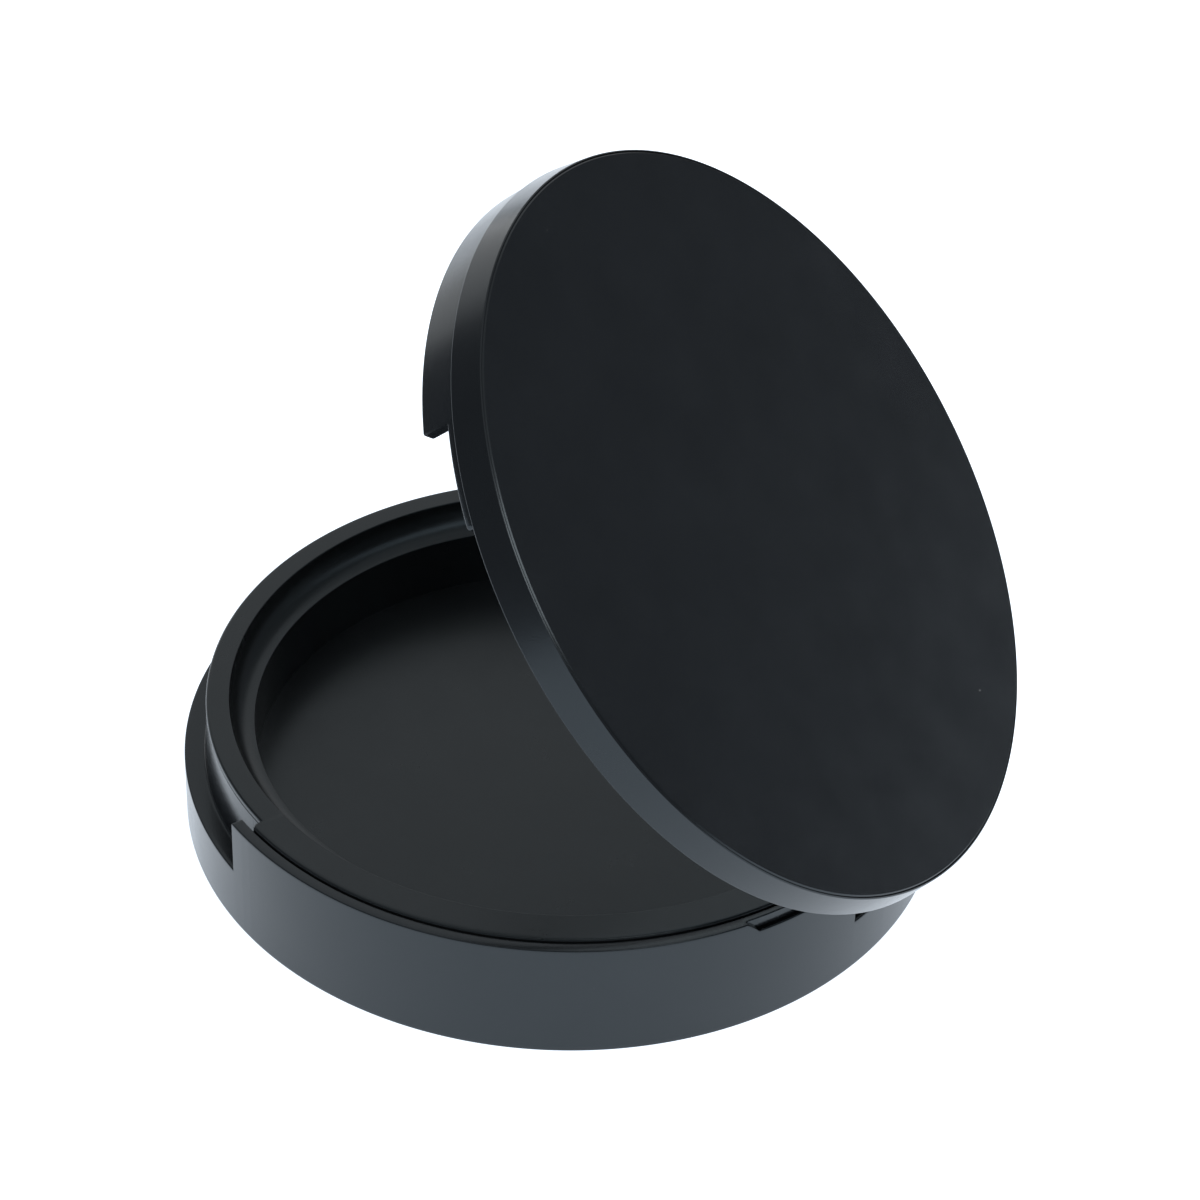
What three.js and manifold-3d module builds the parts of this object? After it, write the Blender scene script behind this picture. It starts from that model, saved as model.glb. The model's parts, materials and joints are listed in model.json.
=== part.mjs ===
// A round hinged palette case: a cup-shaped base with a drop-in tray, and a lid that stands half open.
// Millimetres, +Z up. The origin is the centre of the base's underside. The hinge is at +Y, the thumb
// notch and the lid's pull tab are at -Y. Each lid piece is modelled in the closed position, and one
// group then turns the whole lid about the hinge axis to its rest position.
import * as THREE from "three";
import { mergeVertices } from "three/addons/utils/BufferGeometryUtils.js";
import Module from "manifold-3d";

const wasm = await Module();
wasm.setup();

// ---------------------------------------------------------------- driving dimensions

const ROUND_SEGMENTS = 96;
const SMALL_SEGMENTS = 24;
const FILLET_STEPS = 4;
const MERGE_DISTANCE = 1e-4;
const CUT_REACH = 60; // radius of the pie-slice cutters
const CUT_HEIGHT = 20; // and their height
const CUT_MARGIN = 1; // how far a cutter runs past the face it opens
const JOIN_OVERLAP = 0.3; // how far two bodies that become one run into each other

const OUTER_RADIUS = 37.5;
const SHELL_TOP = 12.5;
const SHELL_FLOOR = 1.5;
const SHELL_FOOT_CHAMFER = 0.15;
const WALL_INNER_RADIUS = 35.9;
const RABBET_RADIUS = 36.55; // the wall's inner radius beside the tray's flange
const FLANGE_SEAT = 12.1;

const NOTCH_HALF_ANGLE = 55; // thumb notch, about -Y
const NOTCH_POCKET_HALF_ANGLE = 57.5; // the stepped-in wall runs a little behind the outer wall's ends
const NOTCH_FLOOR = 6.63;
const NOTCH_WALL_RADIUS = 35;
const NOTCH_FILLET = 0.9;
const NOTCH_WALL = 0.8;
const NOTCH_FLOOR_THICKNESS = 1.2;
const NOTCH_END_WALL_ANGLE = 2; // thickness of the pocket's end walls, in degrees

const RELIEF_HALF_ANGLE = 40.5; // shallow outside step of the rim, about +Y
const RELIEF_FLOOR = 11.27;
const RELIEF_RADIUS = 37;

const SLOT_HALF_ANGLE = 21.5; // hinge slot through the outer wall, about +Y
const SLOT_FLOOR = 5.85;

const HINGE_Y = 35.8;
const HINGE_Z = 6.2;
const KNUCKLE_RADIUS = 1.3;
const PIN_RADIUS = 0.6;
const PIN_HOLE_RADIUS = 0.75;
const PIN_END_INSET = 0.1;
const TONGUE_HALF_WIDTH = 4.4;
const LUG_INNER_X = 4.7;
const LUG_OUTER_X = 7.3;
const HINGE_POCKET_FLOOR = 4; // low enough for the tongue to clear the wall at the upper limit
const HINGE_BLOCK_Y = 34.25;
const HINGE_BLOCK_HALF_WIDTH = 9;

const FLANGE_TOP = 12.8;
const FLANGE_UNDERSIDE = 12.2;
const FLANGE_RADIUS = 36.25;
const FLANGE_NOTCH_RADIUS = 35.1;
const FLANGE_REAR_HALF_ANGLE = 22.5;
const RING_INNER_RADIUS = 32.9;
const LEDGE_TOP = 9.9;
const WELL_RADIUS = 30.5;
const WELL_FLOOR = 3.7;
const TRAY_WALL = 1;
const WELL_FILLET = 0.3;
const LEDGE_COVE = 2.7; // radius of the hollow curve from the ring's inner wall down to the ledge
const LEDGE_COVE_SWEEP = 80; // degrees; the cove's inner end still rises a little outwards

const LID_RIM = 12.65; // lower edge of the lid cover when closed
const LID_TOP = 15.95;
const LID_TOP_RADIUS = 37; // the side band is drafted
const COVER_LIP_TOP = 15.9;
const COVER_EDGE_CHAMFER = 0.12;
const COVER_BORE_RADIUS = 36.65;
const COVER_WEB_UNDERSIDE = 14.05;
const COVER_WEB_TOP = 14.9;
const PLATE_RECESS_RADIUS = 36.7;
const PLATE_RADIUS = 36.4;
const PLATE_UNDERSIDE = 15.25;
const PLATE_CHAMFER = 0.2;
const LAYER_GAP = 0.1;

const FRAME_RADIUS = 36.35;
const FRAME_FACE = 13; // the frame's downward face when closed
const FRAME_OPENING_RADIUS = 31.3;
const FRAME_TOP = 13.95;
const NECK_INNER_RADIUS = 35.5;
const SKIRT_RADIUS = 37.34;
const SKIRT_INNER_RADIUS = 36.3;
const SKIRT_LOWER_EDGE = 8.9;
const LIP_LOWER_EDGE = 11.9;
const LIP_HALF_ANGLE = 54.4;
const TAB_HALF_ANGLE = 39;
const REAR_SKIRT_HALF_ANGLE = 20.7;

const MIRROR_RADIUS = 31;
const MIRROR_FACE = 13.15;
const MIRROR_THICKNESS = 0.7;
const FILM_THICKNESS = 0.12;
const FILM_GAP = 0.05;
const FILM_MARGIN = 1;

const REST_OPENING = 48.6; // degrees that the lid stands open at rest

// ---------------------------------------------------------------- solids and booleans

// The closed solid that a geometry encloses.
function solidOf(geometry) {
  const bare = geometry.clone();
  bare.deleteAttribute("normal");
  bare.deleteAttribute("uv");
  const merged = mergeVertices(bare, MERGE_DISTANCE);
  const triangles = [];
  for (let i = 0; i < merged.index.count; i += 3) {
    const [a, b, c] = [0, 1, 2].map((corner) => merged.index.getX(i + corner));
    if (a !== b && b !== c && c !== a) triangles.push(a, b, c);
  }
  return new wasm.Manifold(
    new wasm.Mesh({
      numProp: 3,
      vertProperties: new Float32Array(merged.attributes.position.array),
      triVerts: new Uint32Array(triangles),
    }),
  );
}

// A named mesh made from a solid.
function part(name, solid, material) {
  const made = solid.getMesh();
  const geometry = new THREE.BufferGeometry();
  geometry.setAttribute("position", new THREE.BufferAttribute(new Float32Array(made.vertProperties), 3));
  geometry.setIndex(new THREE.BufferAttribute(new Uint32Array(made.triVerts), 1));
  geometry.computeVertexNormals();
  const mesh = new THREE.Mesh(geometry, material);
  mesh.name = name;
  return mesh;
}

// A profile of [radius, z] points turned about Z. Counter-clockwise profiles give outward faces.
function turned(profile) {
  const points = profile.map(([radius, z]) => new THREE.Vector2(radius, z));
  const geometry = new THREE.LatheGeometry(points, ROUND_SEGMENTS);
  return solidOf(geometry.rotateX(Math.PI / 2));
}

// A ring of rectangular section.
function ring(innerRadius, outerRadius, low, high) {
  return turned([
    [innerRadius, low],
    [outerRadius, low],
    [outerRadius, high],
    [innerRadius, high],
    [innerRadius, low],
  ]);
}

// A disc from the axis to a radius, with an optional chamfer on its upper edge.
function disc(radius, low, high, chamfer = 0) {
  const edge = chamfer > 0 ? [[radius, high - chamfer], [radius - chamfer, high]] : [[radius, high]];
  return turned([[0, low], [radius, low], ...edge, [0, high]]);
}

// A pie slice about Z, centred on the +Y or -Y side.
function slice(side, halfAngle) {
  const middle = side === "rear" ? 90 : -90;
  const shape = new THREE.Shape();
  shape.moveTo(0, 0);
  const from = THREE.MathUtils.degToRad(middle - halfAngle);
  const to = THREE.MathUtils.degToRad(middle + halfAngle);
  shape.absarc(0, 0, CUT_REACH, from, to, false);
  shape.lineTo(0, 0);
  return solidOf(new THREE.ExtrudeGeometry(shape, { depth: CUT_HEIGHT, bevelEnabled: false }));
}

// A box as wide to the left of the middle of the case as to the right.
function box(halfWidth, y0, y1, z0, z1) {
  const geometry = new THREE.BoxGeometry(2 * halfWidth, y1 - y0, z1 - z0);
  return solidOf(geometry.translate(0, (y0 + y1) / 2, (z0 + z1) / 2));
}

// An outline in the Y-Z plane, given from the hinge axis, run along X about the middle of the case.
function hingeExtrusion(shape, halfLength) {
  const geometry = new THREE.ExtrudeGeometry(shape, {
    depth: 2 * halfLength,
    bevelEnabled: false,
    curveSegments: SMALL_SEGMENTS / 2,
  });
  // The shape's first axis becomes Y, its second becomes Z and the depth runs along X.
  const axes = new THREE.Matrix4().makeBasis(
    new THREE.Vector3(0, 1, 0),
    new THREE.Vector3(0, 0, 1),
    new THREE.Vector3(1, 0, 0),
  );
  return solidOf(geometry.applyMatrix4(axes).translate(-halfLength, HINGE_Y, HINGE_Z));
}

// A round bar along the hinge axis, centred on the middle of the case.
function hingeBar(radius, halfLength) {
  const geometry = new THREE.CylinderGeometry(radius, radius, 2 * halfLength, SMALL_SEGMENTS);
  return solidOf(geometry.rotateZ(-Math.PI / 2).translate(0, HINGE_Y, HINGE_Z));
}

// A fillet's points in a profile, about its own centre, from one angle to another in degrees.
function fillet(radius, z, size, from, to) {
  const points = [];
  for (let i = 0; i <= FILLET_STEPS; i++) {
    const angle = THREE.MathUtils.degToRad(from + ((to - from) * i) / FILLET_STEPS);
    points.push([radius + size * Math.cos(angle), z + size * Math.sin(angle)]);
  }
  return points;
}

// ---------------------------------------------------------------- base

// The cup: floor, outer wall and the rabbet that the tray's flange sits in.
function cup() {
  return turned([
    [0, 0],
    [OUTER_RADIUS - SHELL_FOOT_CHAMFER, 0],
    [OUTER_RADIUS, SHELL_FOOT_CHAMFER],
    [OUTER_RADIUS, SHELL_TOP],
    [RABBET_RADIUS, SHELL_TOP],
    [RABBET_RADIUS, FLANGE_SEAT],
    [WALL_INNER_RADIUS, FLANGE_SEAT],
    [WALL_INNER_RADIUS, SHELL_FLOOR],
    [0, SHELL_FLOOR],
  ]);
}

// The notch's floor and stepped-in wall, with a fillet between them, closed at both ends.
function notchPanel() {
  const back = NOTCH_WALL_RADIUS - NOTCH_WALL;
  const front = WALL_INNER_RADIUS + JOIN_OVERLAP;
  const low = NOTCH_FLOOR - NOTCH_FLOOR_THICKNESS;
  const endHalfAngle = NOTCH_POCKET_HALF_ANGLE + NOTCH_END_WALL_ANGLE;
  const section = turned([
    [back, low],
    [front, low],
    [front, NOTCH_FLOOR],
    ...fillet(NOTCH_WALL_RADIUS + NOTCH_FILLET, NOTCH_FLOOR + NOTCH_FILLET, NOTCH_FILLET, 270, 180),
    [NOTCH_WALL_RADIUS, FLANGE_SEAT],
    [back, FLANGE_SEAT],
    [back, low],
  ]);
  const ends = ring(back, front, low, FLANGE_SEAT).subtract(slice("front", NOTCH_POCKET_HALF_ANGLE));
  return section.add(ends).intersect(slice("front", endHalfAngle));
}

// The knuckle and the block it stands on, kept inside the outer wall's cylinder. The pocket for the
// lid's tongue later parts the knuckle into two lugs.
function hingeBlock() {
  const knuckle = hingeBar(KNUCKLE_RADIUS, LUG_OUTER_X);
  const stemBack = HINGE_Y - KNUCKLE_RADIUS;
  const stem = box(LUG_OUTER_X, stemBack, OUTER_RADIUS, SHELL_FLOOR, HINGE_Z);
  const foot = SHELL_FLOOR - JOIN_OVERLAP;
  const block = box(HINGE_BLOCK_HALF_WIDTH, HINGE_BLOCK_Y, OUTER_RADIUS, foot, SLOT_FLOOR);
  const knuckleFront = HINGE_Y + KNUCKLE_RADIUS;
  const stemFront = box(LUG_OUTER_X + CUT_MARGIN, knuckleFront, CUT_REACH, SLOT_FLOOR, CUT_HEIGHT);
  return knuckle.add(stem).subtract(stemFront).add(block).intersect(disc(OUTER_RADIUS, 0, SHELL_TOP));
}

// A cutter that opens the outer wall down to a floor, from an inner radius outwards.
function wallCutter(side, halfAngle, innerRadius, floor) {
  const band = ring(innerRadius, OUTER_RADIUS + CUT_MARGIN, floor, SHELL_TOP + CUT_MARGIN);
  return band.intersect(slice(side, halfAngle));
}

function baseShell() {
  const notch = wallCutter("front", NOTCH_HALF_ANGLE, WALL_INNER_RADIUS - JOIN_OVERLAP, NOTCH_FLOOR);
  const notchPocket = ring(
    NOTCH_WALL_RADIUS + NOTCH_FILLET,
    RABBET_RADIUS,
    NOTCH_FLOOR,
    SHELL_TOP + CUT_MARGIN,
  ).intersect(slice("front", NOTCH_POCKET_HALF_ANGLE));
  const relief = wallCutter("rear", RELIEF_HALF_ANGLE, RELIEF_RADIUS, RELIEF_FLOOR);
  const slot = wallCutter("rear", SLOT_HALF_ANGLE, RING_INNER_RADIUS, SLOT_FLOOR);
  const pocketBack = HINGE_BLOCK_Y - CUT_MARGIN;
  const pocketFront = OUTER_RADIUS + CUT_MARGIN;
  const tonguePocket = box(LUG_INNER_X, pocketBack, pocketFront, HINGE_POCKET_FLOOR, SHELL_TOP);
  const pinHole = hingeBar(PIN_HOLE_RADIUS, LUG_OUTER_X + JOIN_OVERLAP);
  return cup()
    .subtract(notch)
    .subtract(notchPocket)
    .add(notchPanel())
    .subtract(relief)
    .subtract(slot)
    .add(hingeBlock())
    .subtract(tonguePocket)
    .subtract(pinHole);
}

// The tray's flange is cut back where the lid's tab, skirt and tongue come down beside it.
function trayInsert() {
  const wellBottom = WELL_FLOOR - TRAY_WALL;
  const ledgeBottom = LEDGE_TOP - TRAY_WALL;
  const coveTop = LEDGE_TOP + LEDGE_COVE * Math.sin(THREE.MathUtils.degToRad(LEDGE_COVE_SWEEP));
  const profile = [
    [0, wellBottom],
    [WELL_RADIUS + TRAY_WALL, wellBottom],
    [WELL_RADIUS + TRAY_WALL, ledgeBottom],
    [RING_INNER_RADIUS + TRAY_WALL, ledgeBottom],
    [RING_INNER_RADIUS + TRAY_WALL, FLANGE_UNDERSIDE],
    [FLANGE_RADIUS, FLANGE_UNDERSIDE],
    [FLANGE_RADIUS, FLANGE_TOP],
    [RING_INNER_RADIUS, FLANGE_TOP],
    ...fillet(RING_INNER_RADIUS - LEDGE_COVE, coveTop, LEDGE_COVE, 0, -LEDGE_COVE_SWEEP),
    [WELL_RADIUS, LEDGE_TOP],
    ...fillet(WELL_RADIUS - WELL_FILLET, WELL_FLOOR + WELL_FILLET, WELL_FILLET, 0, -90),
    [0, WELL_FLOOR],
  ];
  const edge = ring(
    FLANGE_NOTCH_RADIUS,
    FLANGE_RADIUS + CUT_MARGIN,
    FLANGE_UNDERSIDE - CUT_MARGIN,
    FLANGE_TOP + CUT_MARGIN,
  );
  const front = edge.intersect(slice("front", NOTCH_POCKET_HALF_ANGLE));
  const rear = edge.intersect(slice("rear", FLANGE_REAR_HALF_ANGLE));
  return turned(profile).subtract(front).subtract(rear);
}

function hingePin() {
  return hingeBar(PIN_RADIUS, LUG_OUTER_X - PIN_END_INSET);
}

// ---------------------------------------------------------------- lid, in the closed position

// The side band, the web between lid and plate, and the thin lip that surrounds the plate.
function lidCover() {
  return turned([
    [0, COVER_WEB_UNDERSIDE],
    [COVER_BORE_RADIUS, COVER_WEB_UNDERSIDE],
    [COVER_BORE_RADIUS, LID_RIM],
    [OUTER_RADIUS, LID_RIM],
    [LID_TOP_RADIUS, COVER_LIP_TOP - COVER_EDGE_CHAMFER],
    [LID_TOP_RADIUS - COVER_EDGE_CHAMFER, COVER_LIP_TOP],
    [PLATE_RECESS_RADIUS, COVER_LIP_TOP],
    [PLATE_RECESS_RADIUS, COVER_WEB_TOP],
    [0, COVER_WEB_TOP],
  ]);
}

// A band of skirt below the cover's rim, over an angle about the front or the rear.
function skirt(side, halfAngle, lowerEdge) {
  const band = ring(SKIRT_INNER_RADIUS, SKIRT_RADIUS, lowerEdge, LID_RIM - LAYER_GAP);
  return band.intersect(slice(side, halfAngle));
}

// The neck that joins a skirt to the frame's ring, inside the cover's band.
function neck(side, halfAngle) {
  const wall = ring(NECK_INNER_RADIUS, FRAME_RADIUS, LIP_LOWER_EDGE, FRAME_TOP);
  const foot = ring(NECK_INNER_RADIUS, SKIRT_RADIUS, LIP_LOWER_EDGE, LID_RIM - LAYER_GAP);
  return wall.add(foot).intersect(slice(side, halfAngle));
}

// The outline of the tongue that turns on the hinge pin, from the hinge axis.
function tongueShape() {
  const top = LIP_LOWER_EDGE + JOIN_OVERLAP - HINGE_Z;
  const innerFace = NECK_INNER_RADIUS - HINGE_Y;
  const gussetFoot = 1.4;
  const gussetTop = 3.6;
  const shape = new THREE.Shape();
  shape.moveTo(KNUCKLE_RADIUS, 0);
  shape.lineTo(KNUCKLE_RADIUS, top);
  shape.lineTo(innerFace, top);
  shape.lineTo(innerFace, gussetTop);
  shape.lineTo(-KNUCKLE_RADIUS, gussetFoot);
  shape.lineTo(-KNUCKLE_RADIUS, 0);
  shape.absarc(0, 0, KNUCKLE_RADIUS, Math.PI, 2 * Math.PI, false);
  return shape;
}

function lidFrame() {
  const plate = ring(FRAME_OPENING_RADIUS, FRAME_RADIUS, FRAME_FACE, FRAME_TOP);
  const skirtEnvelope = disc(SKIRT_RADIUS, 0, LID_RIM);
  const tongue = hingeExtrusion(tongueShape(), TONGUE_HALF_WIDTH).intersect(skirtEnvelope);
  const hole = hingeBar(PIN_HOLE_RADIUS, TONGUE_HALF_WIDTH + CUT_MARGIN);
  return plate
    .add(neck("front", LIP_HALF_ANGLE))
    .add(skirt("front", TAB_HALF_ANGLE, SKIRT_LOWER_EDGE))
    .add(neck("rear", REAR_SKIRT_HALF_ANGLE))
    .add(skirt("rear", REAR_SKIRT_HALF_ANGLE, SKIRT_LOWER_EDGE))
    .add(tongue)
    .subtract(hole);
}

function topPlate() {
  return disc(PLATE_RADIUS, PLATE_UNDERSIDE, LID_TOP, PLATE_CHAMFER);
}

function topPlateAdhesive() {
  const low = COVER_WEB_TOP + LAYER_GAP;
  return disc(PLATE_RADIUS - FILM_MARGIN, low, low + FILM_THICKNESS);
}

function mirror() {
  return disc(MIRROR_RADIUS, MIRROR_FACE, MIRROR_FACE + MIRROR_THICKNESS);
}

function mirrorAdhesive() {
  const low = MIRROR_FACE + MIRROR_THICKNESS + FILM_GAP;
  return disc(MIRROR_RADIUS - FILM_MARGIN, low, low + FILM_THICKNESS);
}

// ---------------------------------------------------------------- materials

function plastic(color, roughness) {
  return new THREE.MeshStandardMaterial({ color, roughness, metalness: 0 });
}

const shellPlastic = plastic(0x16181a, 0.5);
const trayPlastic = plastic(0x141617, 0.55);
const lidPlastic = plastic(0x16181a, 0.5);
const framePlastic = plastic(0x15171a, 0.5);
const platePlastic = plastic(0x0f1113, 0.6);
const filmMaterial = plastic(0xc9c6ba, 0.8);
const pinSteel = new THREE.MeshStandardMaterial({ color: 0xa8a9ab, roughness: 0.35, metalness: 1 });
const mirrorGlass = new THREE.MeshStandardMaterial({ color: 0xe6eaec, roughness: 0.03, metalness: 1 });

// ---------------------------------------------------------------- assembly

const base = new THREE.Group();
base.add(part("base_shell", baseShell(), shellPlastic));
base.add(part("tray_insert", trayInsert(), trayPlastic));
base.add(part("hinge_pin", hingePin(), pinSteel));

const lid = new THREE.Group();
lid.add(part("lid_cover", lidCover(), lidPlastic));
lid.add(part("lid_top_plate", topPlate(), platePlastic));
lid.add(part("top_plate_adhesive", topPlateAdhesive(), filmMaterial));
lid.add(part("lid_frame", lidFrame(), framePlastic));
lid.add(part("mirror", mirror(), mirrorGlass));
lid.add(part("mirror_adhesive", mirrorAdhesive(), filmMaterial));
lid.position.set(0, -HINGE_Y, -HINGE_Z);

// Turning about -X by the opening angle lifts the front of the lid.
const lidSwing = new THREE.Group();
lidSwing.add(lid);
lidSwing.position.set(0, HINGE_Y, HINGE_Z);
lidSwing.rotation.x = -THREE.MathUtils.degToRad(REST_OPENING);

const palette = new THREE.Group();
palette.add(base);
palette.add(lidSwing);

export default palette;
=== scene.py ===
"""The looks of a round hinged palette case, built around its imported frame.

Every visible piece is a fine mesh that stands for a CAD node of about its size. Shapes are written in
millimetres in the row frame: the hinge is at +Y, the thumb notch at -Y, and t is the angle in degrees
round Z from the notch (0) to the hinge (180), alike on both sides. The lid's pieces are shaped in the
closed position, and their meshes are then turned open about the hinge.
"""
import json
import math

import bpy
import numpy as np
from mathutils import Matrix, Vector

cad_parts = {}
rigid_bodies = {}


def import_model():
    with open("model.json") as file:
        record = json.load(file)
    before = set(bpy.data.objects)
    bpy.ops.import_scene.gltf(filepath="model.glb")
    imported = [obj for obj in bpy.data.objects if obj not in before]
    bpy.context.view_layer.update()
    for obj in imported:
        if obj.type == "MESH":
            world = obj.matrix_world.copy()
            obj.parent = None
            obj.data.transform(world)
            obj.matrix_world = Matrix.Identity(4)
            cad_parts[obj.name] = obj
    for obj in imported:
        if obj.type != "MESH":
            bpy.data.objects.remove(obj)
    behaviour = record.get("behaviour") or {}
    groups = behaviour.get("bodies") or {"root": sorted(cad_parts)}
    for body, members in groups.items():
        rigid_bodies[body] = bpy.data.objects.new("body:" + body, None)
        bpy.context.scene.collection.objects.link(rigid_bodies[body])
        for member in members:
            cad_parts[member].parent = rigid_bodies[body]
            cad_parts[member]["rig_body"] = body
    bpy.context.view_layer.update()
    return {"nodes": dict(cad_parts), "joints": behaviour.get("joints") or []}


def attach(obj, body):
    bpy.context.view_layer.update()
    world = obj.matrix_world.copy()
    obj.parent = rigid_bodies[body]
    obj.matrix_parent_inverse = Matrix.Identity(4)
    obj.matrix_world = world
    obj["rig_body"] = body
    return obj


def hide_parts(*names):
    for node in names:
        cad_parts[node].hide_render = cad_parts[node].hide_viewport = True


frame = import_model()

# ---------------------------------------------------------------- sizes

MM = 0.001
HINGE_JOINT = frame["joints"][0]
HINGE = Vector(HINGE_JOINT["pos_m"]) / MM
OPENING = -HINGE_JOINT["range_deg"][0]  # the lid closes at the joint's lower limit


def turn_about_hinge(unit):
    """The turn that opens the lid, for points given in this unit of metres."""
    axis = HINGE * MM / unit
    turn = Matrix.Rotation(math.radians(-OPENING), 4, "X")
    return Matrix.Translation(axis) @ turn @ Matrix.Translation(-axis)


def cad_points(node):
    """A CAD node's vertices in millimetres, with the lid's nodes turned back to the closed position."""
    thing = frame["nodes"][node]
    turn = turn_about_hinge(MM).inverted() if thing["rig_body"] == "lid" else Matrix.Identity(4)
    return np.array([turn @ (v.co / MM) for v in thing.data.vertices])


def cad_size(node):
    """Outer radius, lowest and highest z of a CAD node."""
    points = cad_points(node)
    radii = np.hypot(points[:, 0], points[:, 1])
    return [round(float(value), 3) for value in (radii.max(), points[:, 2].min(), points[:, 2].max())]


OUTER_RADIUS, SHELL_BOTTOM, SHELL_TOP = cad_size("base_shell")
FLANGE_RADIUS, WELL_UNDERSIDE, FLANGE_TOP = cad_size("tray_insert")
COVER_RADIUS, COVER_RIM, COVER_TOP = cad_size("lid_cover")
_, PLATE_UNDERSIDE, PLATE_TOP = cad_size("lid_top_plate")
SKIRT_RADIUS, _, FRAME_TOP = cad_size("lid_frame")
MIRROR_RADIUS, MIRROR_FACE, MIRROR_BACK = cad_size("mirror")
PIN_HALF_LENGTH = float(cad_points("hinge_pin")[:, 0].max())

SEAM = 0.05  # clearance between pieces that meet
EDGE = 0.12  # rounding of a moulded outer edge
FINE_EDGE = 0.08
EVEN_STRIP = 0.25  # a strip beside a rounded edge that keeps the shading of the face beyond it even

SHELL_FLOOR = 1.5
FOOT_ROUNDING = 0.15
WALL_INNER_RADIUS = 35.9
RABBET_GAP = 0.08  # the hairline between the tray's flange and the rim
RABBET_RADIUS = FLANGE_RADIUS + RABBET_GAP
FLANGE_SEAT = 12.1
NOTCH_ANGLE = 55
POCKET_ANGLE = 57.5
POCKET_WALL_ANGLE = 59.5
NOTCH_FLOOR = 6.63
NOTCH_WALL_RADIUS = 35.15
NOTCH_WALL_DRAFT = 0.3
NOTCH_FILLET = 1.9
NOTCH_WALL_BACK = 34.2
RELIEF_TOP_ANGLE = 42  # where the relief's ramp starts and ends, from the hinge
RELIEF_FOOT_ANGLE = 40
RELIEF_FLOOR = 11.27
RELIEF_RADIUS = 37
SLOT_ANGLE = 21.5
SLOT_FLOOR = 5.85
LUG_FRONT_Y = 36.75  # just inside the outer wall, at a lug's outer end
BLOCK_Y = 34.25  # the inner face of the block under the hinge
BLOCK_HALF_WIDTH = 9
CHANNEL_HALF_WIDTH = 4.7  # the channel that the lid's tongue turns in
CHANNEL_FLOOR = 4
LUG_HALF_WIDTH = 7.3
LUG_ROOT = 2.2  # how far a lug runs down into the block, from the hinge axis
KNUCKLE_RADIUS = 1.3
PIN_HOLE_RADIUS = 0.75
PIN_RADIUS = 0.6

FLANGE_UNDERSIDE = 12.2
FLANGE_EDGE = 0.25  # rounding of the flange's outer top edge
FLANGE_NOTCH_RADIUS = 35.2
FLANGE_REAR_ANGLE = 22.5
FLANGE_CORNER = 0.45  # plan rounding where the flange is cut back
RING_INNER_RADIUS = 32.9
RING_WALL_RADIUS = 33.9
LEDGE_TOP = 9.9
LEDGE_UNDERSIDE = 8.9
LEDGE_EDGE = 0.18
COVE_RADIUS = 2.7
COVE_END_SLOPE = 10  # degrees that the cove still rises outwards at the edge of the well
WELL_RADIUS = 30.5
WELL_OUTER_RADIUS = 31.5
WELL_FLOOR = 3.7
TRAY_UNDERSIDE_EDGE = 0.3

COVER_TOP_RADIUS = 36.99
COVER_BEVEL = (0.1, 0.08)  # inwards and down
COVER_BORE_RADIUS = 36.65
COVER_WEB_UNDERSIDE = 14.05
COVER_WEB_TOP = 14.9
GROOVE_OUTER_RADIUS = 36.82  # the fine groove round the inlaid plate
GROOVE_INNER_RADIUS = 36.76
PLATE_BEVEL = (0.15, 0.11)  # inwards and down

FRAME_RADIUS = 36.35
FRAME_FACE = 13
FRAME_OPENING_RADIUS = 31.3
FRAME_OPENING_EDGE = 0.15
NECK_INNER_RADIUS = 35.5
SKIRT_INNER_RADIUS = 36.3
SKIRT_LOWER_EDGE = 8.9
LIP_LOWER_EDGE = 11.9
LIP_ANGLE = 54.4
LIP_CORNER = 0.4
TAB_ANGLE = 39
TAB_CORNER = 0.3
REAR_SKIRT_ANGLE = 20.7
TONGUE_HALF_WIDTH = 4.4
TONGUE_GUSSET = (1.4, 3.6)  # heights of the gusset's foot and top above the hinge axis
MIRROR_EDGE = 0.25
PIN_END_EDGE = 0.15

ARC_STEPS = 4
COVE_STEPS = 12
KNUCKLE_STEPS = 24
STEEP = 0.01  # the angle that an upright end face takes up
TINY = 1e-6
CREASE = 40  # edges sharper than this, in degrees, aren't shaded smooth
CORNER_HALF_ANGLES = (1, 89)  # a corner outside these, in degrees, is left unrounded
LONGEST_TANGENT = 0.48  # of a corner's shorter side, so that two roundings never meet
CLOSEST_SECTIONS = 0.3  # degrees between a section of the even grid and a track's own stops


# ---------------------------------------------------------------- profiles

def corner_arc(back, here, ahead, size):
    """The points of the arc of radius size that rounds a corner, or the corner repeated if it has none."""
    u, w = back - here, ahead - here
    lengths = np.linalg.norm(u), np.linalg.norm(w)
    if min(lengths) < TINY:
        return [here] * (ARC_STEPS + 1)
    u, w = u / lengths[0], w / lengths[1]
    half = math.acos(np.clip(u @ w, -1, 1)) / 2
    sharpest, flattest = (math.radians(angle) for angle in CORNER_HALF_ANGLES)
    if half > flattest or half < sharpest:
        return [here] * (ARC_STEPS + 1)
    tangent = min(size / math.tan(half), LONGEST_TANGENT * min(lengths))
    radius = tangent * math.tan(half)
    centre = here + (u + w) / np.linalg.norm(u + w) * radius / math.sin(half)
    start = here + u * tangent - centre
    end = here + w * tangent - centre
    sweep = math.pi - 2 * half
    sign = math.copysign(1, start[0] * end[1] - start[1] * end[0])
    made = []
    for k in range(ARC_STEPS + 1):
        angle = sign * sweep * k / ARC_STEPS
        c, s = math.cos(angle), math.sin(angle)
        made.append(centre + np.array([c * start[0] - s * start[1], s * start[0] + c * start[1]]))
    return made


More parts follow.
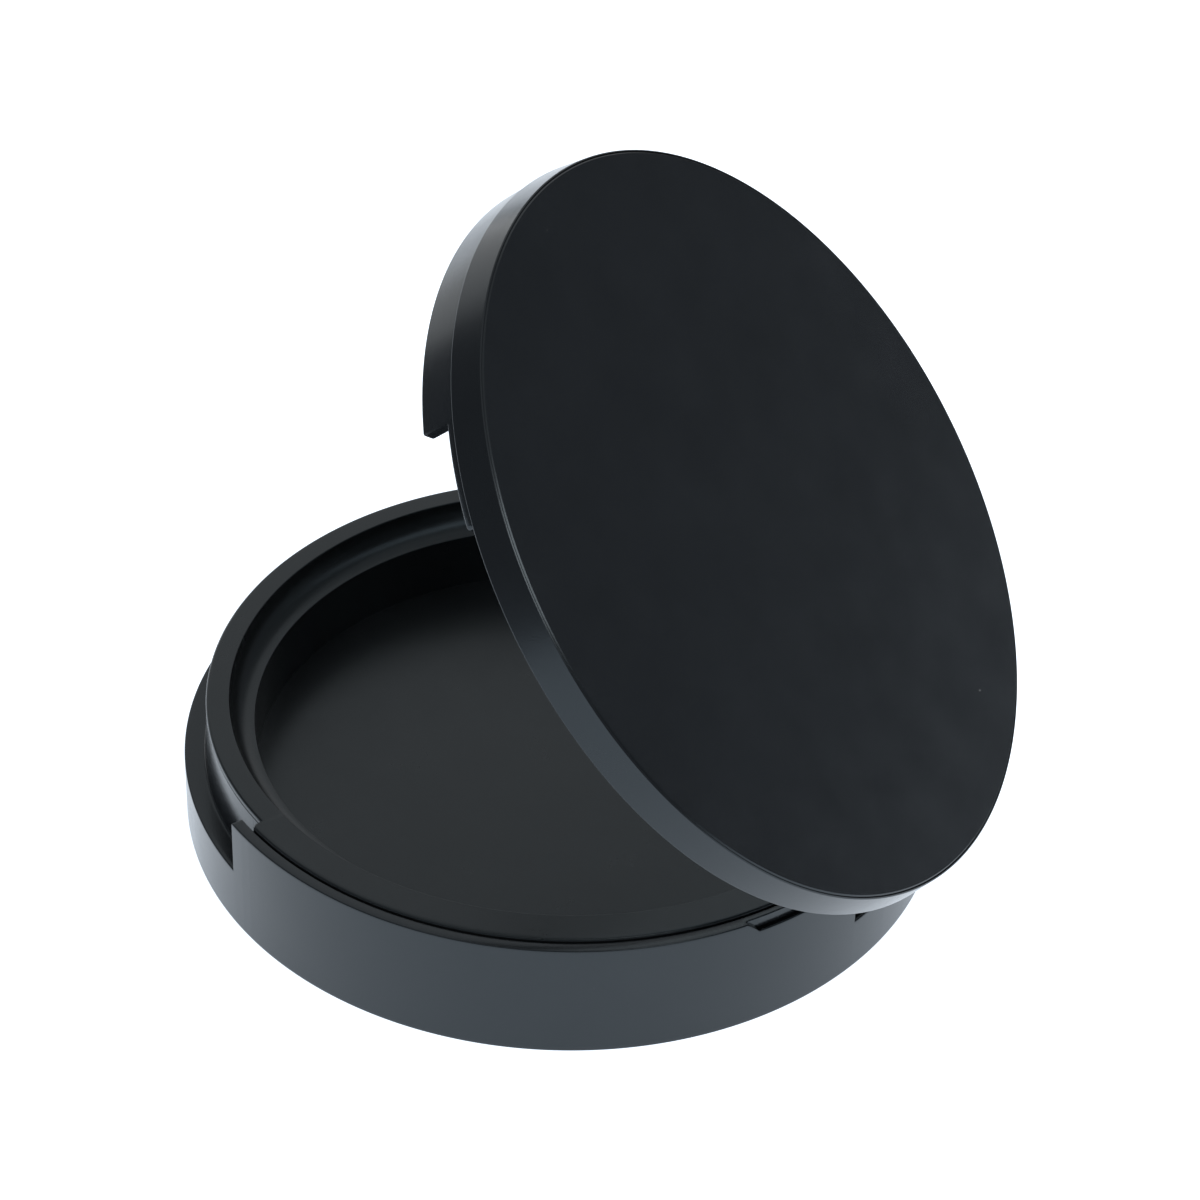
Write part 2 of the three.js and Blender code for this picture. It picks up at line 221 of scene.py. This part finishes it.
def arc_of(r, z, radius, start, end, steps):
    """The [r, z] points of an arc about (r, z) from one direction to another, in degrees."""
    angles = (math.radians(start + (end - start) * k / steps) for k in range(steps + 1))
    return [(r + radius * math.cos(angle), z + radius * math.sin(angle)) for angle in angles]


def bevelled(r, z, bevel):
    """The two corners (r, z, rounding) of a bevelled outer top edge."""
    inwards, down = bevel
    return [(r, z - down, down / 3), (r - inwards, z, down / 3)]


def rounded(corners):
    """The [r, z] points of a profile from its corners (r, z) or (r, z, rounding)."""
    points = [np.array(corner[:2], float) for corner in corners]
    made = []
    for i, corner in enumerate(corners):
        if len(corner) == 2:
            made.append(points[i])
        else:
            made += corner_arc(points[i - 1], points[i], points[(i + 1) % len(points)], corner[2])
    return made


def step(t, before, after, rounding=EDGE, convex="high"):
    """Points (t, value) for an upright face at angle t, with the corner at its high or low end rounded."""
    high, low = max(before, after), min(before, after)
    level, other, sign = (high, low, -1) if convex == "high" else (low, high, 1)
    side = 1 if after == level else -1
    made = [(t, other)]
    for k in range(ARC_STEPS + 1):
        angle = math.radians(90) * k / ARC_STEPS
        along = math.degrees(rounding * (1 - math.cos(angle)) / OUTER_RADIUS)
        made.append((t + side * (STEEP + along), level + sign * rounding * (1 - math.sin(angle))))
    return made[::side]


class Track:
    """A value that follows the angle t through listed points."""

    def __init__(self, *points):
        flat = []
        for point in points:
            flat += point if isinstance(point, list) else [point]
        self.stops, self.values = zip(*flat)

    def __call__(self, t):
        return float(np.interp(t, self.stops, self.values))


# ---------------------------------------------------------------- meshes

def mesh_of(name, vertices, faces):
    """A mesh in metres from points in millimetres. Equal points become one and empty faces are left out."""
    points, index = np.unique(np.round(np.array(vertices, float), 5), axis=0, return_inverse=True)
    index = index.ravel()
    kept = []
    for face in faces:
        loop = [int(index[i]) for i in face]
        loop = [v for i, v in enumerate(loop) if v != loop[i - 1]]
        if len(set(loop)) == len(loop) >= 3:
            kept.append(loop)
    mesh = bpy.data.meshes.new(name)
    mesh.from_pydata((points * MM).tolist(), [], kept)
    mesh.update()
    return mesh


def skinned(name, loops, closed_loops):
    """A body from a closed run of loops of points. Open loops start and end on the axis."""
    count = len(loops[0])
    faces = []
    for i in range(len(loops)):
        j = (i + 1) % len(loops)
        for k in range(count if closed_loops else count - 1):
            m = (k + 1) % count
            faces.append((i * count + k, j * count + k, j * count + m, i * count + m))
    return mesh_of(name, [point for loop in loops for point in loop], faces)


def placed(t, profile, mirrored, flat_from):
    """A profile stood up at angle t, or in a plane of constant x past the angle flat_from."""
    side = -1 if mirrored else 1
    a = math.radians(t)
    if t <= flat_from:
        return [(side * r * math.sin(a), -r * math.cos(a), z) for r, z in profile]
    x = OUTER_RADIUS * math.sin(a)
    return [(side * x, math.sqrt(r * r - x * x), z) if r > x + TINY else (0, 0, z) for r, z in profile]


def swept(name, section, tracks, closed_section, flat_from=180):
    """A body whose section follows t, the same on both sides of the case."""
    stops = sorted(set(round(t, 4) for track in tracks for t in track.stops) | {0, 180, flat_from})
    even = np.arange(0.5, 180)
    grid = [t for t in even if min(abs(t - stop) for stop in stops) > CLOSEST_SECTIONS]
    angles = sorted(stops + grid)
    right = [placed(t, section(t), False, flat_from) for t in angles]
    left = [placed(t, section(t), True, flat_from) for t in angles[-2:0:-1]]
    return skinned(name, right + left, closed_section)


def turned(name, *corners):
    """A body of revolution from a profile that starts and ends on the axis."""
    profile = rounded(corners)
    return skinned(name, [placed(t, profile, False, 360) for t in range(360)], False)


def drilled_bar(name, outline, x0, x1):
    """A bar along X, drilled for the pin. Its outline is [y, z] from the hinge axis, seen from +X."""
    outer = np.array(outline, float)
    reach = np.hypot(outer[:, 0], outer[:, 1])[:, None]
    bore = outer / reach * PIN_HOLE_RADIUS
    inset = outer * (1 - FINE_EDGE / reach)
    ends = [
        *[(x0, bore), (x0, inset), (x0 + FINE_EDGE, outer)],
        *[(x1 - FINE_EDGE, outer), (x1, inset), (x1, bore)],
    ]
    loops = [[(x, HINGE.y + y, HINGE.z + z) for y, z in loop] for x, loop in ends]
    return skinned(name, [loop[::-1] for loop in loops], True)


def united(name, first, others):
    """The union of closed meshes."""
    things = []
    for mesh in [first, *others]:
        thing = bpy.data.objects.new(mesh.name, mesh)
        bpy.context.scene.collection.objects.link(thing)
        things.append(thing)
    for other in things[1:]:
        union = things[0].modifiers.new("union", "BOOLEAN")
        union.operation = "UNION"
        union.solver = "MANIFOLD"
        union.object = other
    evaluated = things[0].evaluated_get(bpy.context.evaluated_depsgraph_get())
    made = bpy.data.meshes.new_from_object(evaluated)
    made.name = name
    for thing in things:
        bpy.data.objects.remove(thing)
    return made


def smoothed(thing):
    """Smooth shading in which flat faces stay flat and sharp edges stay sharp."""
    thing.data.polygons.foreach_set("use_smooth", [True] * len(thing.data.polygons))
    thing.data.set_sharp_from_angle(angle=math.radians(CREASE))
    weighted = thing.modifiers.new("weighted_normals", "WEIGHTED_NORMAL")
    weighted.keep_sharp = True


def piece(mesh, body, material, node):
    """A piece that rides on a body and stands for a CAD node."""
    thing = bpy.data.objects.new(mesh.name, mesh)
    bpy.context.scene.collection.objects.link(thing)
    mesh.materials.clear()
    mesh.materials.append(material)
    if body == "lid":
        mesh.transform(turn_about_hinge(1))
    smoothed(thing)
    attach(thing, body)
    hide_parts(node)


# ---------------------------------------------------------------- base

def rear_angle(x):
    """The angle t of the upright plane at x, near the hinge."""
    return 180 - math.degrees(math.asin(x / OUTER_RADIUS))


def shell_mesh():
    """The cup, with its notch and stepped-in wall, its relief, its hinge slot and the hinge block."""
    flat_from = rear_angle(BLOCK_HALF_WIDTH + 1)
    slot = 180 - SLOT_ANGLE
    channel = step(rear_angle(CHANNEL_HALF_WIDTH), SLOT_FLOOR, CHANNEL_FLOOR, FINE_EDGE)
    rim = Track(
        (0, NOTCH_FLOOR),
        step(NOTCH_ANGLE, NOTCH_FLOOR, SHELL_TOP),
        step(slot, SHELL_TOP, SLOT_FLOOR),
        channel,
    )
    outer_rim = Track(
        (0, NOTCH_FLOOR),
        step(NOTCH_ANGLE, NOTCH_FLOOR, SHELL_TOP),
        (180 - RELIEF_TOP_ANGLE, SHELL_TOP),
        (180 - RELIEF_FOOT_ANGLE, RELIEF_FLOOR),
        step(slot, RELIEF_FLOOR, SLOT_FLOOR),
        channel,
    )
    seat = Track(
        (0, NOTCH_FLOOR),
        (POCKET_ANGLE, NOTCH_FLOOR),
        (POCKET_ANGLE + STEEP, FLANGE_SEAT),
        step(slot, FLANGE_SEAT, SLOT_FLOOR),
        channel,
    )
    wall_top = Track((0, FLANGE_SEAT), step(slot, FLANGE_SEAT, SLOT_FLOOR), channel)
    stepped_in = Track((0, 1), (POCKET_WALL_ANGLE, 1), (POCKET_WALL_ANGLE + STEEP, 0))
    block = Track((0, 0), (rear_angle(BLOCK_HALF_WIDTH), 0), (rear_angle(BLOCK_HALF_WIDTH) + STEEP, 1))

    def section(t):
        x = OUTER_RADIUS * math.sin(math.radians(t))
        inner = math.hypot(x, BLOCK_Y) if block(t) > 0.5 else WALL_INNER_RADIUS
        wall = inner + (NOTCH_WALL_RADIUS - inner) * stepped_in(t)
        draft = NOTCH_WALL_DRAFT * stepped_in(t) * (t < POCKET_ANGLE)
        back = inner + (NOTCH_WALL_BACK - inner) * stepped_in(t)
        return rounded([
            (0, SHELL_BOTTOM),
            (OUTER_RADIUS, SHELL_BOTTOM, FOOT_ROUNDING),
            (OUTER_RADIUS, SHELL_BOTTOM + FOOT_ROUNDING + EVEN_STRIP),
            (OUTER_RADIUS, outer_rim(t) - EDGE - EVEN_STRIP),
            (OUTER_RADIUS, outer_rim(t), EDGE),
            (RELIEF_RADIUS, outer_rim(t)),
            (RELIEF_RADIUS, rim(t), EDGE),
            (RABBET_RADIUS, rim(t), EDGE),
            (RABBET_RADIUS, seat(t)),
            (inner, seat(t)),
            (wall + draft, seat(t), NOTCH_FILLET),
            (wall, wall_top(t), FINE_EDGE),
            (back, wall_top(t), FINE_EDGE),
            (back, SHELL_FLOOR),
            (0, SHELL_FLOOR),
        ])

    tracks = (rim, outer_rim, seat, wall_top, stepped_in, block)
    cup = swept("shell_cup", section, tracks, False, flat_from)
    return united("shell_moulding", cup, [lug_mesh(-1), lug_mesh(1)])


def lug_mesh(side):
    """One of the two lugs that hold the pin, rounded over the top and cut flat towards the outside."""
    front = LUG_FRONT_Y - HINGE.y
    first = math.acos(front / KNUCKLE_RADIUS)
    arc = [first + (math.pi - first) * i / KNUCKLE_STEPS for i in range(KNUCKLE_STEPS + 1)]
    outline = [
        (front, -LUG_ROOT),
        *[(KNUCKLE_RADIUS * math.cos(a), KNUCKLE_RADIUS * math.sin(a)) for a in arc],
        (-KNUCKLE_RADIUS, -LUG_ROOT),
    ]
    x0, x1 = sorted((side * CHANNEL_HALF_WIDTH, side * LUG_HALF_WIDTH))
    return drilled_bar("shell_lug", outline, x0, x1)


def tray_mesh():
    """The drop-in tray: well, ledge, ring and flange. The flange is cut back at the notch and the hinge."""
    flange = Track(
        (0, FLANGE_NOTCH_RADIUS),
        step(POCKET_ANGLE, FLANGE_NOTCH_RADIUS, FLANGE_RADIUS, FLANGE_CORNER),
        step(180 - FLANGE_REAR_ANGLE, FLANGE_RADIUS, FLANGE_NOTCH_RADIUS, FLANGE_CORNER),
    )
    rise = COVE_RADIUS * math.cos(math.radians(COVE_END_SLOPE))
    middle = RING_INNER_RADIUS - COVE_RADIUS, LEDGE_TOP + rise
    cove = arc_of(*middle, COVE_RADIUS, 0, COVE_END_SLOPE - 90, COVE_STEPS)

    def section(t):
        return rounded([
            (0, WELL_UNDERSIDE),
            (WELL_OUTER_RADIUS, WELL_UNDERSIDE, TRAY_UNDERSIDE_EDGE),
            (WELL_OUTER_RADIUS, LEDGE_UNDERSIDE),
            (RING_WALL_RADIUS, LEDGE_UNDERSIDE, TRAY_UNDERSIDE_EDGE),
            (RING_WALL_RADIUS, FLANGE_UNDERSIDE),
            (flange(t), FLANGE_UNDERSIDE, FINE_EDGE),
            (flange(t), FLANGE_TOP, FLANGE_EDGE),
            (flange(t) - FLANGE_EDGE - EVEN_STRIP, FLANGE_TOP),
            (RING_INNER_RADIUS, FLANGE_TOP, EDGE),
            *cove,
            (WELL_RADIUS, LEDGE_TOP, LEDGE_EDGE),
            (WELL_RADIUS, WELL_FLOOR),
            (0, WELL_FLOOR),
        ])

    return swept("tray_moulding", section, (flange,), False)


def pin_mesh():
    """The hinge pin, with rounded ends."""
    mesh = turned(
        "pin_rod",
        (0, -PIN_HALF_LENGTH),
        (PIN_RADIUS, -PIN_HALF_LENGTH, PIN_END_EDGE),
        (PIN_RADIUS, PIN_HALF_LENGTH, PIN_END_EDGE),
        (0, PIN_HALF_LENGTH),
    )
    mesh.transform(Matrix.Translation(HINGE * MM) @ Matrix.Rotation(math.radians(90), 4, "Y"))
    return mesh


# ---------------------------------------------------------------- lid, in the closed position

def cover_mesh():
    """The lid's cap: a slightly drafted side band round a recess for the plate."""
    return turned(
        "cover_moulding",
        (0, COVER_WEB_UNDERSIDE),
        (COVER_BORE_RADIUS, COVER_WEB_UNDERSIDE),
        (COVER_BORE_RADIUS, COVER_RIM, FINE_EDGE),
        (COVER_RADIUS, COVER_RIM, EDGE),
        *bevelled(COVER_TOP_RADIUS, COVER_TOP, COVER_BEVEL),
        (GROOVE_OUTER_RADIUS, COVER_TOP),
        (GROOVE_OUTER_RADIUS, COVER_WEB_TOP),
        (0, COVER_WEB_TOP),
    )


def plate_mesh():
    """The inlaid top plate."""
    return turned(
        "plate_disc",
        (0, PLATE_UNDERSIDE),
        (GROOVE_INNER_RADIUS, PLATE_UNDERSIDE, FINE_EDGE),
        *bevelled(GROOVE_INNER_RADIUS, PLATE_TOP, PLATE_BEVEL),
        (0, PLATE_TOP),
    )


def frame_mesh():
    """The lid's inner frame: its ring, the front lip and tab, the rear skirt and the hinge tongue."""
    rear = 180 - REAR_SKIRT_ANGLE
    near = 4 * STEEP
    outer = Track(
        (0, SKIRT_RADIUS),
        step(LIP_ANGLE, SKIRT_RADIUS, FRAME_RADIUS, LIP_CORNER),
        step(rear, FRAME_RADIUS, SKIRT_RADIUS, EDGE),
    )
    neck = Track(
        (0, LIP_LOWER_EDGE),
        (LIP_ANGLE + near, LIP_LOWER_EDGE),
        (LIP_ANGLE + near + STEEP, FRAME_FACE),
        (rear - near - STEEP, FRAME_FACE),
        (rear - near, LIP_LOWER_EDGE),
    )
    neck_top = Track(
        (0, COVER_RIM - SEAM),
        (LIP_ANGLE + near, COVER_RIM - SEAM),
        (LIP_ANGLE + near + STEEP, FRAME_FACE),
        (rear - near - STEEP, FRAME_FACE),
        (rear - near, COVER_RIM - SEAM),
    )
    skirt = Track(
        (0, SKIRT_LOWER_EDGE),
        step(TAB_ANGLE, SKIRT_LOWER_EDGE, LIP_LOWER_EDGE, TAB_CORNER, "low"),
        (LIP_ANGLE + near, LIP_LOWER_EDGE),
        (LIP_ANGLE + near + STEEP, FRAME_FACE),
        (rear - near - STEEP, FRAME_FACE),
        (rear - near, LIP_LOWER_EDGE),
        step(rear + EDGE + near, LIP_LOWER_EDGE, SKIRT_LOWER_EDGE, TAB_CORNER, "low"),
    )

    def section(t):
        return rounded([
            (FRAME_OPENING_RADIUS, FRAME_FACE, FRAME_OPENING_EDGE),
            (NECK_INNER_RADIUS, FRAME_FACE),
            (NECK_INNER_RADIUS, neck(t), FINE_EDGE),
            (SKIRT_INNER_RADIUS, neck(t)),
            (SKIRT_INNER_RADIUS, skirt(t), FINE_EDGE),
            (outer(t), skirt(t), EDGE),
            (outer(t), neck_top(t), FINE_EDGE),
            (FRAME_RADIUS, neck_top(t)),
            (FRAME_RADIUS, FRAME_TOP, FINE_EDGE),
            (FRAME_OPENING_RADIUS, FRAME_TOP, FINE_EDGE),
        ])

    ring = swept("frame_ring", section, (outer, neck, neck_top, skirt), True)
    return united("frame_moulding", ring, [tongue_mesh()])


def tongue_mesh():
    """The tongue that turns on the pin, with a gusset up to the frame's neck."""
    top = LIP_LOWER_EDGE + 2 * EDGE - HINGE.z
    inner_face = NECK_INNER_RADIUS - HINGE.y
    front = KNUCKLE_RADIUS - SEAM
    arc = [math.pi + math.pi * i / KNUCKLE_STEPS for i in range(KNUCKLE_STEPS - 1)]
    outline = [
        (front, top),
        (inner_face, top),
        (inner_face, TONGUE_GUSSET[1]),
        (-KNUCKLE_RADIUS, TONGUE_GUSSET[0]),
        *[(KNUCKLE_RADIUS * math.cos(a), KNUCKLE_RADIUS * math.sin(a)) for a in arc],
        (front, 0),
    ]
    return drilled_bar("frame_tongue", outline, -TONGUE_HALF_WIDTH, TONGUE_HALF_WIDTH)


def mirror_mesh():
    """The mirror, with its edge ground round."""
    return turned(
        "mirror_disc",
        (0, MIRROR_FACE),
        (MIRROR_RADIUS, MIRROR_FACE, MIRROR_EDGE),
        (MIRROR_RADIUS, MIRROR_BACK, FINE_EDGE),
        (0, MIRROR_BACK),
    )


def film_mesh(name, node):
    """A disc of adhesive film of a CAD node's size."""
    radius, low, high = cad_size(node)
    edge = (high - low) / 3
    return turned(name, (0, low), (radius, low, edge), (radius, high, edge), (0, high))


# ---------------------------------------------------------------- materials

class Nodes:
    """A material's node tree, with short calls to add and link nodes."""

    def __init__(self, name):
        self.material = bpy.data.materials.new(name)
        self.material.use_nodes = True
        self.tree = self.material.node_tree
        self.shader = self.tree.nodes["Principled BSDF"]
        self.place = self.add("ShaderNodeTexCoord").outputs["Object"]

    def add(self, kind, inputs=(), **settings):
        node = self.tree.nodes.new(kind)
        for key, value in settings.items():
            setattr(node, key, value)
        for key, value in dict(inputs).items():
            self.set(node.inputs[key], value)
        return node

    def set(self, socket, value):
        if isinstance(value, bpy.types.NodeSocket):
            self.tree.links.new(value, socket)
        else:
            socket.default_value = value

    def noise(self, size_mm, detail=2, seed=0):
        """A noise from 0 to 1 with features of about this size."""
        inputs = {"Vector": self.place, "Scale": 1 / (size_mm * MM), "Detail": detail, "W": seed}
        return self.add("ShaderNodeTexNoise", inputs, noise_dimensions="4D").outputs["Fac"]

    def spread(self, value, low, high, start=0.0, end=1.0):
        """value, from start..end to low..high."""
        inputs = {"Value": value, "From Min": start, "From Max": end, "To Min": low, "To Max": high}
        return self.add("ShaderNodeMapRange", inputs).outputs["Result"]

    def maths(self, operation, a, b):
        return self.add("ShaderNodeMath", {0: a, 1: b}, operation=operation).outputs[0]

    def mixed(self, factor, a, b):
        """Colour a to b."""
        node = self.add("ShaderNodeMix", data_type="RGBA")
        self.set(node.inputs["Factor"], factor)
        self.set(node.inputs["A"], a)
        self.set(node.inputs["B"], b)
        return node.outputs["Result"]


SMALLEST_SPECK = 0.4  # of the largest one's radius


def specks(nodes, spacing_mm, share, radius):
    """A mask of small scattered dust specks: 1 in a speck. share is how many of the cells hold one."""
    cells = nodes.add("ShaderNodeTexVoronoi", {"Vector": nodes.place, "Scale": 1 / (spacing_mm * MM)})
    chance = nodes.add("ShaderNodeSeparateColor", {"Color": cells.outputs["Color"]})
    held = nodes.maths("LESS_THAN", chance.outputs["Red"], share)
    size = nodes.spread(chance.outputs["Green"], radius * SMALLEST_SPECK, radius)
    inside = nodes.maths("LESS_THAN", cells.outputs["Distance"], size)
    return nodes.maths("MULTIPLY", held, inside)


SHEEN_TINT = (0.8, 0.93, 1, 1)
SHEEN_LEVEL = 0.42
GRAIN_SIZE = 0.16
GRAIN_DEPTH = 0.007
NOISE_SPAN = (0.3, 0.7)  # the stretch of a noise's values that is spread out
TONE_RANGE = 0.14  # how far the body colour strays, each way, as a share of itself
PATCH_RANGE = 0.02  # how far the roughness strays, each way, in patches
FINE_RANGE = 0.015  # and in fine mottling
DUST_COLOUR = (0.3, 0.3, 0.29, 1)


def moulded_plastic(name, colour, roughness, seed):
    """Fine-textured moulded plastic: spark-eroded grain, uneven sheen and a little dust."""
    nodes = Nodes(name)
    tone = nodes.spread(nodes.noise(9, 3, seed), 0, 1, *NOISE_SPAN)
    deep = (*[c * (1 - TONE_RANGE) for c in colour], 1)
    light = (*[c * (1 + TONE_RANGE) for c in colour], 1)
    body = nodes.mixed(tone, deep, light)
    dust = specks(nodes, spacing_mm=2.6, share=0.1, radius=0.028)
    nodes.set(nodes.shader.inputs["Base Color"], nodes.mixed(dust, body, DUST_COLOUR))
    patches = nodes.spread(nodes.noise(5, 4, seed + 3), -PATCH_RANGE, PATCH_RANGE, *NOISE_SPAN)
    fine = nodes.spread(nodes.noise(0.5, 3, seed + 5), -FINE_RANGE, FINE_RANGE, *NOISE_SPAN)
    sheen = nodes.maths("ADD", nodes.maths("ADD", patches, fine), roughness)
    nodes.set(nodes.shader.inputs["Roughness"], nodes.maths("MAXIMUM", sheen, dust))
    grain = nodes.noise(GRAIN_SIZE, 2, seed + 7)
    bump = nodes.add("ShaderNodeBump", {"Height": grain, "Strength": 1, "Distance": GRAIN_DEPTH * MM})
    nodes.set(nodes.shader.inputs["Normal"], bump.outputs["Normal"])
    nodes.shader.inputs["Specular IOR Level"].default_value = SHEEN_LEVEL
    nodes.shader.inputs["Specular Tint"].default_value = SHEEN_TINT
    return nodes.material


def mirror_glass(name):
    """Silvered glass with a very faint haze and a few dust specks."""
    nodes = Nodes(name)
    dust = specks(nodes, spacing_mm=3.2, share=0.12, radius=0.025)
    colour = nodes.mixed(dust, (0.86, 0.89, 0.9, 1), (0.4, 0.4, 0.38, 1))
    nodes.set(nodes.shader.inputs["Base Color"], colour)
    nodes.shader.inputs["Metallic"].default_value = 1
    haze = nodes.spread(nodes.noise(7, 4), 0.015, 0.05, 0.35, 0.7)
    dusty = nodes.maths("MULTIPLY", dust, 0.6)
    nodes.set(nodes.shader.inputs["Roughness"], nodes.maths("MAXIMUM", haze, dusty))
    return nodes.material


def adhesive_film(name):
    """Pale adhesive with fine mottling."""
    nodes = Nodes(name)
    mottle = nodes.spread(nodes.noise(0.8, 5), 0, 1, *NOISE_SPAN)
    colour = nodes.mixed(mottle, (0.5, 0.48, 0.42, 1), (0.62, 0.6, 0.54, 1))
    nodes.set(nodes.shader.inputs["Base Color"], colour)
    nodes.set(nodes.shader.inputs["Roughness"], nodes.spread(mottle, 0.55, 0.75))
    return nodes.material


def drawn_steel(name):
    """Steel wire with fine draw lines along its length."""
    nodes = Nodes(name)
    lines = nodes.add("ShaderNodeMapping", {"Vector": nodes.place, "Scale": (40, 9000, 9000)})
    grain = nodes.add("ShaderNodeTexNoise", {"Vector": lines.outputs["Vector"], "Scale": 1, "Detail": 2})
    value = grain.outputs["Fac"]
    colour = nodes.mixed(value, (0.5, 0.5, 0.51, 1), (0.62, 0.62, 0.63, 1))
    nodes.set(nodes.shader.inputs["Base Color"], colour)
    nodes.shader.inputs["Metallic"].default_value = 1
    nodes.set(nodes.shader.inputs["Roughness"], nodes.spread(value, 0.22, 0.42))
    bump = nodes.add("ShaderNodeBump", {"Height": value, "Strength": 0.5, "Distance": 0.004 * MM})
    nodes.set(nodes.shader.inputs["Normal"], bump.outputs["Normal"])
    return nodes.material


# ---------------------------------------------------------------- studio

CAMERA_AZIMUTH = 109.90  # the viewing direction, in degrees
CAMERA_ELEVATION = 37.44
CAMERA_ROLL = 2.06
CAMERA_DISTANCE = 0.3682
CAMERA_LENS = 109.95
SENSOR_WIDTH = 36
AIM_RIGHT = 0.00377  # where the camera points, from the origin, along its own right and up
AIM_UP = 0.01886


def camera():
    """The camera, at the angle from which the case is shown."""
    a, e, roll = (math.radians(x) for x in (CAMERA_AZIMUTH, CAMERA_ELEVATION, CAMERA_ROLL))
    back = Vector((math.sin(a) * math.cos(e), -math.cos(a) * math.cos(e), math.sin(e)))
    level = Vector((math.cos(a), math.sin(a), 0))
    upright = back.cross(level)
    right = level * math.cos(roll) + upright * math.sin(roll)
    up = back.cross(right)
    data = bpy.data.cameras.new("camera")
    data.lens = CAMERA_LENS
    data.sensor_width = SENSOR_WIDTH
    thing = bpy.data.objects.new("camera", data)
    thing.matrix_world = Matrix((right, up, back)).transposed().to_4x4()
    thing.location = right * AIM_RIGHT + up * AIM_UP + back * CAMERA_DISTANCE
    bpy.context.scene.collection.objects.link(thing)
    bpy.context.scene.camera = thing


FLOOR_HALF_WIDTH = 1.6
FLOOR_GLOW = 0.97
STUDIO_TINT = (1, 1.1, 1.22, 1)  # the slightly bluish white of the floor and the surroundings


def floor():
    """A pale lit table top."""
    half = FLOOR_HALF_WIDTH
    mesh = bpy.data.meshes.new("floor")
    corners = [(-half, -half, 0), (half, -half, 0), (half, half, 0), (-half, half, 0)]
    mesh.from_pydata(corners, [], [(0, 1, 2, 3)])
    thing = bpy.data.objects.new("floor", mesh)
    bpy.context.scene.collection.objects.link(thing)
    nodes = Nodes("pale_table")
    nodes.shader.inputs["Base Color"].default_value = (0.8, 0.8, 0.8, 1)
    nodes.shader.inputs["Roughness"].default_value = 0.9
    nodes.shader.inputs["Emission Color"].default_value = STUDIO_TINT
    nodes.shader.inputs["Emission Strength"].default_value = FLOOR_GLOW
    mesh.materials.append(nodes.material)


def softbox(name, azimuth, elevation, distance, size, power):
    """A square softbox that points at the case."""
    a, e = math.radians(azimuth), math.radians(elevation)
    away = Vector((math.sin(a) * math.cos(e), -math.cos(a) * math.cos(e), math.sin(e)))
    data = bpy.data.lights.new(name, "AREA")
    data.shape = "SQUARE"
    data.size = size
    data.energy = power
    thing = bpy.data.objects.new(name, data)
    thing.location = away * distance
    thing.rotation_mode = "QUATERNION"
    thing.rotation_quaternion = away.to_track_quat("Z", "Y")
    bpy.context.scene.collection.objects.link(thing)


def surroundings(seen, around):
    """A plain background: one brightness as the camera sees it, another as it lights the case."""
    world = bpy.data.worlds.new("studio")
    world.use_nodes = True
    tree = world.node_tree
    shade = tree.nodes["Background"]
    ray = tree.nodes.new("ShaderNodeLightPath")
    mix = tree.nodes.new("ShaderNodeMix")
    mix.data_type = "FLOAT"
    mix.inputs["A"].default_value = around
    mix.inputs["B"].default_value = seen
    tree.links.new(ray.outputs["Is Camera Ray"], mix.inputs["Factor"])
    tree.links.new(mix.outputs["Result"], shade.inputs["Strength"])
    shade.inputs["Color"].default_value = STUDIO_TINT
    bpy.context.scene.world = world


# ---------------------------------------------------------------- the scene

camera()
floor()
surroundings(seen=1.0, around=0.13)
softbox("key_overhead", azimuth=110, elevation=85, distance=1.2, size=1.6, power=3)
softbox("back", azimuth=290, elevation=32, distance=1, size=1, power=1.7)
softbox("low_left", azimuth=326, elevation=9, distance=1, size=0.55, power=0.85)
softbox("edge_light", azimuth=157, elevation=56, distance=1.2, size=0.5, power=3.2)
bpy.context.scene.view_settings.view_transform = "Standard"

BLACK = (0.011, 0.012, 0.0135)
SHELL_PLASTIC = moulded_plastic("shell_plastic", BLACK, 0.2, seed=1)
TRAY_PLASTIC = moulded_plastic("tray_plastic", (0.011, 0.012, 0.0125), 0.3, seed=2)
LID_PLASTIC = moulded_plastic("lid_plastic", BLACK, 0.2, seed=3)
FRAME_PLASTIC = moulded_plastic("frame_plastic", BLACK, 0.22, seed=4)
PLATE_PLASTIC = moulded_plastic("plate_plastic", (0.009, 0.010, 0.0115), 0.22, seed=5)
FILM = adhesive_film("adhesive_film")

piece(shell_mesh(), "base", SHELL_PLASTIC, "base_shell")
piece(tray_mesh(), "base", TRAY_PLASTIC, "tray_insert")
piece(pin_mesh(), "base", drawn_steel("pin_steel"), "hinge_pin")
piece(cover_mesh(), "lid", LID_PLASTIC, "lid_cover")
piece(plate_mesh(), "lid", PLATE_PLASTIC, "lid_top_plate")
piece(film_mesh("plate_film", "top_plate_adhesive"), "lid", FILM, "top_plate_adhesive")
piece(frame_mesh(), "lid", FRAME_PLASTIC, "lid_frame")
piece(mirror_mesh(), "lid", mirror_glass("mirror_glass"), "mirror")
piece(film_mesh("mirror_film", "mirror_adhesive"), "lid", FILM, "mirror_adhesive")
